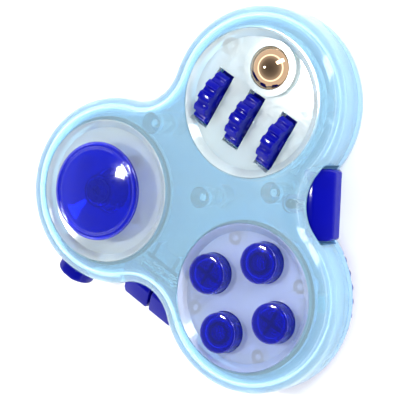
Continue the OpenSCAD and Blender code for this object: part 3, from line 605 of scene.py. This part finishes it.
class FIDGETPAD_OT_face_buttons(bpy.types.Operator):
    """Add the hollow buttons, their inner ribs and their springs"""

    bl_idname = "fidget_pad.face_buttons"
    bl_label = "Face Buttons"

    def execute(self, context):
        sizes = control_sizes()
        flange_t, roof_t, crown = 1 * MM, 1 * MM, 0.14 * MM
        rib_depth, rib_half = 2.05 * MM, 0.45 * MM
        octagon_in, octagon_out = 1.7 * MM, 2.4 * MM
        for number in (1, 2, 3, 4):
            node = f"button_{number}"
            low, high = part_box(node)
            flange_r = (high.x - low.x) / 2
            radius = flange_r - sizes.button_flange
            inner_r = radius - sizes.button_wall
            flange_z = low.z + flange_t
            roof_z = high.z - roof_t
            centre = middle(node).to_2d()
            place = lobe_place(centre)
            profile = [(0, high.z), (radius * 0.45, high.z - crown * 0.25)]
            profile += [tuple(p) for p in soften(
                [(radius * 0.8, high.z - crown * 0.8), (radius, high.z - crown * 1.3), (radius, flange_z),
                 (flange_r, flange_z), (flange_r, low.z), (inner_r, low.z), (inner_r, roof_z),
                 (inner_r * 0.5, roof_z)], sizes.button_edge)]
            bm = bmesh.new()
            turn(bm, [*profile, (0, roof_z)], 96, place)
            turned = Matrix.Rotation(plan_angle(centre - BUTTON_XY), 4, "Z")
            rib_z = roof_z - rib_depth
            if number % 2 == 0:
                for quarter in (0, math.pi / 2):
                    soft_box(bm, (-inner_r, -rib_half, rib_z), (inner_r, rib_half, roof_z), 0.08 * MM,
                             place @ turned @ Matrix.Rotation(quarter, 4, "Z"))
            else:
                wall = ((octagon_in, rib_z), (octagon_out, rib_z), (octagon_out, roof_z),
                        (octagon_in, roof_z))
                loops = [[place @ turned @ p for p in ring_points(r, z, 8)] for r, z in wall]
                ring_skin(bm, loops)
            finish_piece(f"face_button_{number}", bm, node, "button", [node])
            low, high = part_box(f"button_spring_{number}")
            length = high.z - low.z
            bm = bmesh.new()
            coil(bm, (high.x - low.x - sizes.wire) / 2, sizes.wire, length, 5, lobe_place(centre, low.z))
            spring = finish_piece(f"button_coil_{number}", bm, "case", "wire",
                                  [f"button_spring_{number}"])
            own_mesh(spring)
        return {"FINISHED"}


# Reach of the valley bars along the valley's outward direction, in millimetres
ROCKER_BACK, ROCKER_OUT = 11.2, 17.3
TRIGGER_BACK, TRIGGER_OUT = 9.04, 17.15
# A trigger's ends along the valley, from its middle
TRIGGER_START, TRIGGER_END = 0.3, 7


def bar_points(back, out, start, end, cut_start, cut_end):
    """Corners of a bevelled bar in a valley's frame, all in millimetres."""
    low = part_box("rocker")[0].z / MM
    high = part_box("rocker")[1].z / MM
    face = 0.9
    slope_n, slope_z = 3.8, 2
    section = [(back, low), (out - 1.2, low), (out - face, low + 0.3), (out, low + 1.2),
               (out, high - slope_z), (out - face, high - slope_z + face * slope_z / slope_n),
               (out - slope_n, high), (back, high)]
    points = []
    for n, z in section:
        share = max(0.0, n - (out - face)) / face
        points.append(Vector((n, start + cut_start * share, z)) * MM)
        points.append(Vector((n, end - cut_end * share, z)) * MM)
    return points


class FIDGETPAD_OT_rocker(bpy.types.Operator):
    """Add the rocker bar with its hinge lugs and torsion spring"""

    bl_idname = "fidget_pad.rocker"
    bl_label = "Rocker"

    def execute(self, context):
        sizes = control_sizes()
        place = valley_frame(GEAR_XY, BUTTON_XY)
        half = span("rocker").y / 2 / MM
        bm = bmesh.new()
        cut = 0.54
        soft_hull(bm, bar_points(ROCKER_BACK, ROCKER_OUT, -half, half, cut, cut), sizes.control_edge, place)
        low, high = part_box("rocker")
        spring_low, spring_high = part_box("rocker_spring")
        hinge = Matrix.Translation((pivot("rocker_swing").x, pivot("rocker_swing").y, 0))
        bore_r, lug_r, gap, wire = 1.05 * MM, 2 * MM, 0.2 * MM, 0.4 * MM
        for bottom, top in ((low.z, spring_low.z - gap), (spring_high.z + gap, high.z)):
            profile = [(bore_r, bottom), (lug_r, bottom), (lug_r, top), (bore_r, top)]
            turn(bm, [tuple(p) for p in soften(profile, 0.12 * MM, 3, True)], 48, hinge)
        finish_piece("rocker_bar", bm, "rocker", "blue", ["rocker"])
        bm = bmesh.new()
        coil(bm, (spring_high.x - spring_low.x - wire) / 2, wire, spring_high.z - spring_low.z, 3,
             hinge @ Matrix.Translation((0, 0, spring_low.z)))
        finish_piece("rocker_coil", bm, "case", "wire", ["rocker_spring"])
        return {"FINISHED"}


def press_spring(name, node, joint, turns):
    """Coil between the case and a control that slides inwards, kept just clear of the control."""
    sizes = control_sizes()
    inward = Vector(JOINTS[joint]["axis"])
    low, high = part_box(node)
    radius = (high.z - low.z) / 2
    across = abs(inward.y) * 2 * radius
    length = (high.x - low.x - across) / abs(inward.x)
    foot = middle(node) + inward * length / 2
    bm = bmesh.new()
    coil(bm, radius - sizes.wire / 2, sizes.wire, length, turns, facing(-inward, foot))
    spring = finish_piece(name, bm, "case", "wire", [node])
    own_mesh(spring)


class FIDGETPAD_OT_triggers(bpy.types.Operator):
    """Add the pair of triggers and their springs"""

    bl_idname = "fidget_pad.triggers"
    bl_label = "Triggers"

    def execute(self, context):
        sizes = control_sizes()
        place = valley_frame(STICK_XY, BUTTON_XY)
        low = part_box("rocker")[0].z
        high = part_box("rocker")[1].z
        bar = bar_points(TRIGGER_BACK, TRIGGER_OUT, TRIGGER_START, TRIGGER_END, 0.15, 0.54)
        ear_low = Vector((TRIGGER_BACK * MM, 6.6 * MM, low + 0.4 * MM))
        ear_high = Vector((12.6 * MM, 8.4 * MM, high - 0.6 * MM))
        for number, side in ((1, -1), (2, 1)):
            bm = bmesh.new()
            flip = Matrix.Diagonal((1, side, 1, 1))
            soft_hull(bm, bar, sizes.control_edge, place @ flip)
            soft_box(bm, ear_low, ear_high, 0.2 * MM, place @ flip)
            finish_piece(f"trigger_bar_{number}", bm, f"trigger_{number}", "blue",
                         [f"trigger_{number}"])
            press_spring(f"trigger_coil_{number}", f"trigger_spring_{number}",
                         f"trigger_press_{number}", 4)
        return {"FINISHED"}


class FIDGETPAD_OT_side_button(bpy.types.Operator):
    """Add the domed side button and its spring"""

    bl_idname = "fidget_pad.side_button"
    bl_label = "Side Button"

    def execute(self, context):
        outward = -Vector(JOINTS["side_button_press"]["axis"])
        height = middle("side_button").z
        place = facing(outward, Vector((STICK_XY.x, STICK_XY.y, height)))
        half_h, half_w = 3.1 * MM, 4 * MM
        corner = 1.6 * MM
        flange_near, flange_far, flange_side = 15.4 * MM, 16.6 * MM, 1.2 * MM
        tip, dome_r = 23 * MM, 7 * MM
        corners = [(half_h, -half_w), (half_h, half_w), (-half_h, half_w), (-half_h, -half_w)]
        outline = [tuple(p) for p in soften(corners, corner / 0.55, 8, True)]

        def dome(x, y):
            return tip - dome_r + math.sqrt(dome_r ** 2 - x ** 2 - y ** 2)

        shoulder = [(1, 0.5), (0.99, 0.2), (0.96, 0.05)]
        cap = [(share, 0) for share in (0.92, 0.84, 0.74, 0.62, 0.48, 0.32, 0.16, 0.04)]
        loops = [[Vector((x, y, flange_near + 0.2 * MM)) for x, y in outline]]
        loops += [[Vector((x * s, y * s, dome(x * s, y * s) - sink * MM)) for x, y in outline]
                  for s, sink in shoulder + cap]
        bm = bmesh.new()
        skin(bm, [[place @ p for p in loop] for loop in loops])
        flange_half = half_w + flange_side
        soft_box(bm, (-half_h, -flange_half, flange_near), (half_h, flange_half, flange_far), 0.2 * MM, place)
        finish_piece("side_press", bm, "side_button", "blue", ["side_button"], 40)
        press_spring("side_coil", "side_button_spring", "side_button_press", 5)
        return {"FINISHED"}


class FIDGETPAD_OT_thumb_dial(bpy.types.Operator):
    """Add the knurled rear dial"""

    bl_idname = "fidget_pad.thumb_dial"
    bl_label = "Thumb Dial"

    def execute(self, context):
        sizes = control_sizes()
        low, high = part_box("thumb_dial")
        radius = (high.x - low.x) / 2
        count = sizes.dial_knurls * 12
        bore_r, seat_r = 2.65 * MM, 4.4 * MM
        seat_z, dish_z, groove_z = low.z + 1.15 * MM, low.z + 0.5 * MM, low.z + 0.25 * MM

        def knurled(inset, z):
            points = []
            for k in range(count):
                angle = math.tau * k / count
                wave = (0.5 - 0.5 * math.cos(sizes.dial_knurls * angle)) ** 1.5
                reach = radius - inset - sizes.knurl_depth * wave
                points.append(Vector((reach * math.cos(angle), reach * math.sin(angle), z)))
            return points

        rear = [(bore_r, high.z), (bore_r, seat_z), (seat_r, seat_z), (seat_r, dish_z), (13.5 * MM, dish_z),
                (14.3 * MM, low.z), (15.6 * MM, low.z), (15.8 * MM, groove_z), (16.2 * MM, groove_z),
                (16.4 * MM, low.z), (radius - 1.3 * MM, low.z)]
        loops = [ring_points(p[0], p[1], count) for p in soften(rear, 0.15 * MM, 2)]
        loops += [knurled(inset, low.z + drop) for inset, drop in rounded_edge(0.7 * MM, 4)[::-1]]
        loops += [knurled(inset, high.z - drop) for inset, drop in rounded_edge(0.4 * MM, 3)]
        bm = bmesh.new()
        place = lobe_place(BUTTON_XY)
        loops = [[place @ p for p in loop] for loop in loops]
        ring_skin(bm, loops)
        finish_piece("knurled_dial", bm, "dial", "blue", ["thumb_dial"])
        return {"FINISHED"}


# Camera, floor and light

VIEW_AZIMUTH = math.radians(30)
VIEW_ELEVATION = math.radians(3.04)
VIEW_ROLL = math.radians(2.43)
VIEW_DISTANCE = 0.3196
VIEW_LENS = 140.93
VIEW_TARGET = Vector((6.51, -0.49, 14)) * MM


def add_camera():
    """Camera in front of the face, turned towards +X."""
    back = Vector((math.sin(VIEW_AZIMUTH) * math.cos(VIEW_ELEVATION), math.sin(VIEW_ELEVATION),
                   math.cos(VIEW_AZIMUTH) * math.cos(VIEW_ELEVATION)))
    level = Vector((0, 1, 0)).cross(back).normalized()
    upright = back.cross(level)
    right = math.cos(VIEW_ROLL) * level + math.sin(VIEW_ROLL) * upright
    up = back.cross(right)
    camera = bpy.data.objects.new("view_camera", bpy.data.cameras.new("view_camera"))
    camera.data.lens = VIEW_LENS
    camera.data.sensor_width = 36
    camera.data.clip_start = 0.01
    camera.matrix_world = (Matrix.Translation(VIEW_TARGET + back * VIEW_DISTANCE)
                           @ Matrix((right, up, back)).transposed().to_4x4())
    bpy.context.scene.collection.objects.link(camera)
    bpy.context.scene.camera = camera


def add_area(name, place, size, power):
    """Soft rectangular lamp aimed at the pad's middle."""
    lamp = bpy.data.lights.new(name, "AREA")
    lamp.shape = "RECTANGLE"
    lamp.size, lamp.size_y = size
    lamp.energy = power
    holder = bpy.data.objects.new(name, lamp)
    holder.location = place
    holder.rotation_euler = (Vector(place) - Vector((0, 0, 0.01))).to_track_quat("Z", "Y").to_euler()
    bpy.context.scene.collection.objects.link(holder)


def studio_sky(stops):
    """World of a light tent, from (height, strength) stops: 0 is level or lower, 1 is straight up."""
    world = bpy.data.worlds.new("studio_sky")
    world.use_nodes = True
    tree = world.node_tree
    coords = tree.nodes.new("ShaderNodeTexCoord")
    axes = tree.nodes.new("ShaderNodeSeparateXYZ")
    strength = tree.nodes.new("ShaderNodeValToRGB")
    elements = strength.color_ramp.elements
    while len(elements) < len(stops):
        elements.new(0.5)
    for element, (height, level) in zip(elements, stops):
        element.position = height
        element.color = (level, level, level, 1)
    tree.links.new(coords.outputs["Generated"], axes.inputs["Vector"])
    tree.links.new(axes.outputs["Z"], strength.inputs["Fac"])
    tree.links.new(strength.outputs["Color"], tree.nodes["Background"].inputs["Color"])
    return world


class FIDGETPAD_OT_stage(bpy.types.Operator):
    """Add the floor, lamps and camera"""

    bl_idname = "fidget_pad.stage"
    bl_label = "Stage"

    def execute(self, context):
        mesh = bpy.data.meshes.new("floor")
        half = 2
        mesh.from_pydata([(-half, -half, 0), (half, -half, 0), (half, half, 0), (-half, half, 0)], [],
                         [(0, 1, 2, 3)])
        floor = bpy.data.objects.new("floor", mesh)
        context.scene.collection.objects.link(floor)
        clothe(floor, plastic("floor_paper", (0.95, 0.95, 0.95), 0.9, variation=0.01))
        context.scene.world = studio_sky(
            [(0, 1.9), (0.42, 1.8), (0.46, 5), (0.52, 5), (0.57, 1.3), (0.8, 0.5), (1, 0.25)])
        context.scene.view_settings.view_transform = "Standard"
        add_area("key_softbox", (-0.48, 0.088, 1.12), (0.085, 0.085), 8.5)
        add_area("side_softbox", (0.3, 0.25, 0.25), (0.12, 0.3), 1.2)
        add_camera()
        return {"FINISHED"}


class FIDGETPAD_PT_panel(bpy.types.Panel):
    """Sidebar panel that lists the pad's steps"""

    bl_idname = "FIDGETPAD_PT_panel"
    bl_label = "Fidget Pad"
    bl_space_type = "VIEW_3D"
    bl_region_type = "UI"
    bl_category = "Fidget Pad"

    def draw(self, context):
        for group in (context.scene.fidget_pad_look, context.scene.fidget_pad_sizes):
            for name in group.bl_rna.properties.keys():
                if name not in ("name", "rna_type"):
                    self.layout.prop(group, name)
        for step in STEPS:
            self.layout.operator(step.bl_idname)


STEPS = (FIDGETPAD_OT_case, FIDGETPAD_OT_thumb_stick, FIDGETPAD_OT_thumb_gears, FIDGETPAD_OT_trackball,
         FIDGETPAD_OT_face_buttons, FIDGETPAD_OT_rocker, FIDGETPAD_OT_triggers, FIDGETPAD_OT_side_button,
         FIDGETPAD_OT_thumb_dial, FIDGETPAD_OT_stage)
CLASSES = (FidgetPadLook, FidgetPadSizes, *STEPS, FIDGETPAD_PT_panel)


def register():
    """Registers the settings, steps and panel."""
    for item in CLASSES:
        bpy.utils.register_class(item)
    bpy.types.Scene.fidget_pad_look = PointerProperty(type=FidgetPadLook)
    bpy.types.Scene.fidget_pad_sizes = PointerProperty(type=FidgetPadSizes)


def unregister():
    """Removes what register added."""
    del bpy.types.Scene.fidget_pad_sizes
    del bpy.types.Scene.fidget_pad_look
    for item in reversed(CLASSES):
        bpy.utils.unregister_class(item)


def main():
    """Builds the pad."""
    register()
    bpy.ops.fidget_pad.case()
    bpy.ops.fidget_pad.thumb_stick()
    bpy.ops.fidget_pad.thumb_gears()
    bpy.ops.fidget_pad.trackball()
    bpy.ops.fidget_pad.face_buttons()
    bpy.ops.fidget_pad.rocker()
    bpy.ops.fidget_pad.triggers()
    bpy.ops.fidget_pad.side_button()
    bpy.ops.fidget_pad.thumb_dial()
    bpy.ops.fidget_pad.stage()


if __name__ == "__main__":
    main()
